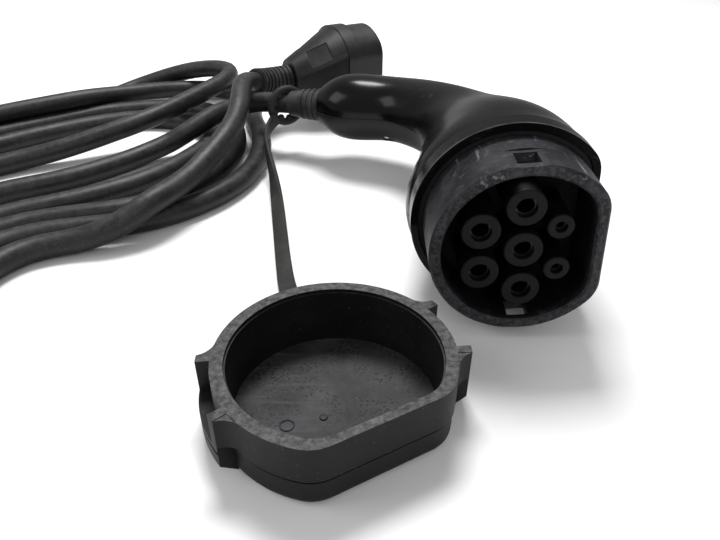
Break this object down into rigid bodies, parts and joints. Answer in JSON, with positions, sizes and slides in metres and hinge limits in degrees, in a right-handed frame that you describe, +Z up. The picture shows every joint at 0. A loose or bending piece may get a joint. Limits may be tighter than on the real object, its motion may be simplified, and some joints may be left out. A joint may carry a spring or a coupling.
{
  "type": "portable ev charging cable",
  "caption": "Portable charging lead for an electric car: a bent-handle connector with a dust cap on a strap, a coiled cable and a wall plug.",
  "frame": {"origin": "on the floor under the middle of the connector, cap and strap", "axes": "+Z up; the connector's mouth faces -Y and its flat faces +X"},
  "size_m": [0.4652, 0.3533, 0.072],
  "materials": {
    "nose_plastic": "matt black moulding, dusty and scuffed",
    "seal_rubber": "black rubber",
    "carrier_plastic": "black glass-filled moulding",
    "contact_metal": "silver-plated copper alloy",
    "handle_plastic": "glossy black shell",
    "handle_matte": "satin black shell",
    "screw_steel": "zinc-plated steel",
    "sleeve_rubber": "matt black rubber",
    "cable_jacket": "dark grey sheath, soft sheen",
    "cap_rubber": "dusty black rubber",
    "strap_rubber": "grey-black rubber",
    "pin_metal": "silver-plated pins",
    "plug_plastic": "satin black shell"
  },
  "bodies": {
    "root": {"nose_shroud": "nose_plastic", "shroud_seal": "seal_rubber", "contact_carrier": "carrier_plastic", "contact_retainer": "carrier_plastic", "retainer_screws": "screw_steel", "handle_shell_upper": "handle_plastic", "handle_shell_lower": "handle_matte", "housing_screws": "screw_steel", "strain_relief": "sleeve_rubber", "cable_jacket_end": "cable_jacket", "cable_clamp": "carrier_plastic", "clamp_screws": "screw_steel", "dust_cap": "cap_rubber", "cap_tether": "strap_rubber", "cable_coil": "cable_jacket", "cable_lead": "cable_jacket", "cable_return": "cable_jacket", "plug_nose": "plug_plastic", "plug_insert": "plug_plastic", "plug_power_pins": "pin_metal", "plug_signal_pins": "pin_metal", "plug_housing_upper": "plug_plastic", "plug_housing_lower": "plug_plastic", "plug_strain_relief": "sleeve_rubber", "plug_jacket_end": "cable_jacket", "contact_n": "contact_metal", "contact_pe": "contact_metal", "contact_l1": "contact_metal", "contact_l3": "contact_metal", "contact_l2": "contact_metal", "contact_cp": "contact_metal", "contact_pp": "contact_metal"}
  },
  "joints": []
}
